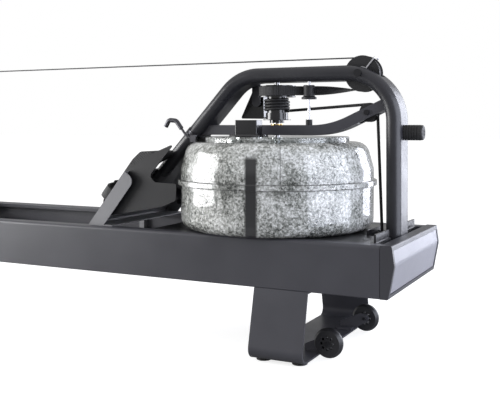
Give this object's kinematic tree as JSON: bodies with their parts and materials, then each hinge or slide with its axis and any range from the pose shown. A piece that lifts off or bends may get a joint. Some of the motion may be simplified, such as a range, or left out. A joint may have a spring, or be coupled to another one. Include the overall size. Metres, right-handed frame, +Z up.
{
  "type": "rowing machine",
  "caption": "Water rowing machine: twin rails on two splayed legs, round water tank under a bent tube arch, strap-driven paddle, angled footrest, sliding seat and pull handle.",
  "frame": {"origin": "on the floor under the middle of the machine's length and width", "axes": "+X along the rails to the front (tank) end, +Z up, -Y the near side"},
  "size_m": [2.1376, 0.55, 0.7815],
  "materials": {
    "powder_coat": "anthracite powder coat, satin",
    "board_paint": "mid grey powder coat, satin",
    "steel": "satin",
    "black_steel": "black oxide, satin",
    "black_plastic": "matte, fine texture",
    "black_gloss": "gloss",
    "cap_panel": "satin",
    "clear_shell": "clear blow-moulded plastic, gloss",
    "water": "clear water with entrained air",
    "blade": "satin",
    "rubber": "matte",
    "grey_rubber": "matte",
    "webbing": "woven",
    "foot_webbing": "woven",
    "elastic": "braided",
    "wheel": "satin urethane",
    "roller": "satin",
    "brass": "turned",
    "upholstery": "grained",
    "grip_foam": "soft foam"
  },
  "bodies": {
    "frame": {"rail_near": "powder_coat", "rail_far": "powder_coat", "front_end_cap": "black_plastic", "rear_end_cap": "black_plastic", "end_cap_panels": "cap_panel", "cross_members": "powder_coat", "tank_tray": "black_gloss", "front_leg": "powder_coat", "rear_leg": "powder_coat", "leg_pads": "rubber", "leg_bolts": "black_steel", "wheel_arms": "powder_coat", "wheel_bolts": "black_steel", "arch_frame": "powder_coat", "lower_bar": "powder_coat", "shaft_bush": "brass", "guide_rod": "steel", "guide_collar": "black_plastic", "base_pulley_bracket": "powder_coat", "pulley_bolts": "black_steel", "strap_retainer": "steel", "drive_strap_feed": "webbing", "bungee_cord": "elastic", "tank_lower_shell": "clear_shell", "tank_upper_shell": "clear_shell", "tank_lid": "clear_shell", "water": "water", "footboard": "board_paint", "foot_side_plates": "black_plastic", "footplates": "black_plastic", "foot_straps": "foot_webbing", "seat_stops": "grey_rubber", "bumper": "rubber", "console_bracket": "steel", "handle_hook": "steel"},
    "handle": {"handle_bar": "black_plastic", "handle_grips": "grip_foam", "strap_clip": "steel", "drive_strap_handle": "webbing"},
    "drum": {"strap_drum": "black_gloss", "drum_strap_wraps": "webbing", "bungee_spool": "black_gloss", "bungee_wraps": "elastic"},
    "guide_roller": {"guide_roller": "black_plastic"},
    "top_pulley": {"top_pulley": "black_plastic"},
    "lower_pulley": {"lower_pulley": "black_plastic"},
    "base_pulley": {"base_pulley": "black_plastic"},
    "impeller": {"impeller_shaft": "steel", "impeller": "blade"},
    "seat": {"seat_pad": "upholstery", "seat_carriage": "powder_coat", "seat_axles": "steel"},
    "seat_rollers_front": {"seat_rollers_front": "roller"},
    "seat_rollers_rear": {"seat_rollers_rear": "roller"},
    "wheel_near": {"transport_wheel_near": "wheel"},
    "wheel_far": {"transport_wheel_far": "wheel"},
    "fill_plug": {"fill_plug": "black_gloss"},
    "console": {"console_housing": "black_gloss"},
    "heel_cup_near": {"heel_cup_near": "black_plastic"},
    "heel_cup_far": {"heel_cup_far": "black_plastic"}
  },
  "joints": [
    {"name": "handle_pull", "type": "slide", "parent": "frame", "child": "handle", "axis": [-1, 0, 0], "range_m": [-0.9, 0.3], "deforming": ["drive_strap_handle"]},
    {"name": "drum_spin", "type": "hinge", "parent": "frame", "child": "drum", "pos_m": [0.657, 0, 0.68], "axis": [0, 0, 1], "range_deg": [-1050, 360]},
    {"name": "guide_roller_spin", "type": "hinge", "parent": "frame", "child": "guide_roller", "pos_m": [0.76, -0.0167, 0.68], "axis": [0, 0, 1], "range_deg": [-1100, 3150]},
    {"name": "top_pulley_spin", "type": "hinge", "parent": "frame", "child": "top_pulley", "pos_m": [0.909, 0, 0.722], "axis": [0, 1, 0], "range_deg": [-420, 1250]},
    {"name": "lower_pulley_spin", "type": "hinge", "parent": "frame", "child": "lower_pulley", "pos_m": [0.925, 0, 0.6195], "axis": [0, 1, 0], "range_deg": [-500, 1500]},
    {"name": "base_pulley_spin", "type": "hinge", "parent": "frame", "child": "base_pulley", "pos_m": [0.939, 0, 0.25], "axis": [0, 1, 0], "range_deg": [-500, 1500]},
    {"name": "impeller_spin", "type": "hinge", "parent": "frame", "child": "impeller", "pos_m": [0.657, 0, 0.4], "axis": [0, 0, 1], "continuous": true},
    {"name": "seat_slide", "type": "slide", "parent": "frame", "child": "seat", "axis": [1, 0, 0], "range_m": [-0.21, 0.64]},
    {"name": "seat_rollers_front_spin", "type": "hinge", "parent": "seat", "child": "seat_rollers_front", "pos_m": [-0.588, 0, 0.2643], "axis": [0, 1, 0], "range_deg": [-560, 1700]},
    {"name": "seat_rollers_rear_spin", "type": "hinge", "parent": "seat", "child": "seat_rollers_rear", "pos_m": [-0.758, 0, 0.2643], "axis": [0, 1, 0], "range_deg": [-560, 1700]},
    {"name": "wheel_near_spin", "type": "hinge", "parent": "frame", "child": "wheel_near", "pos_m": [0.866, -0.148, 0.0415], "axis": [0, 1, 0], "continuous": true},
    {"name": "wheel_far_spin", "type": "hinge", "parent": "frame", "child": "wheel_far", "pos_m": [0.866, 0.148, 0.0415], "axis": [0, 1, 0], "continuous": true},
    {"name": "fill_plug_lift", "type": "slide", "parent": "frame", "child": "fill_plug", "axis": [0, 0, 1], "range_m": [0, 0.1]},
    {"name": "console_tilt", "type": "hinge", "parent": "frame", "child": "console", "pos_m": [0.569, 0.06, 0.652], "axis": [0, 1, 0], "range_deg": [-15, 15]},
    {"name": "heel_cup_near_slide", "type": "slide", "parent": "frame", "child": "heel_cup_near", "axis": [0.6252, 0, 0.7804], "range_m": [0, 0.02]},
    {"name": "heel_cup_far_slide", "type": "slide", "parent": "frame", "child": "heel_cup_far", "axis": [0.6252, 0, 0.7804], "range_m": [0, 0.02]}
  ],
  "couplings": [
    {"joint": "drum_spin", "follows": "handle_pull", "rad_per_m": 19.531},
    {"joint": "guide_roller_spin", "follows": "handle_pull", "rad_per_m": -59.88},
    {"joint": "top_pulley_spin", "follows": "handle_pull", "rad_per_m": -23.256},
    {"joint": "lower_pulley_spin", "follows": "handle_pull", "rad_per_m": -27.965},
    {"joint": "base_pulley_spin", "follows": "handle_pull", "rad_per_m": -27.965},
    {"joint": "seat_rollers_front_spin", "follows": "seat_slide", "rad_per_m": 45.455},
    {"joint": "seat_rollers_rear_spin", "follows": "seat_slide", "rad_per_m": 45.455}
  ]
}
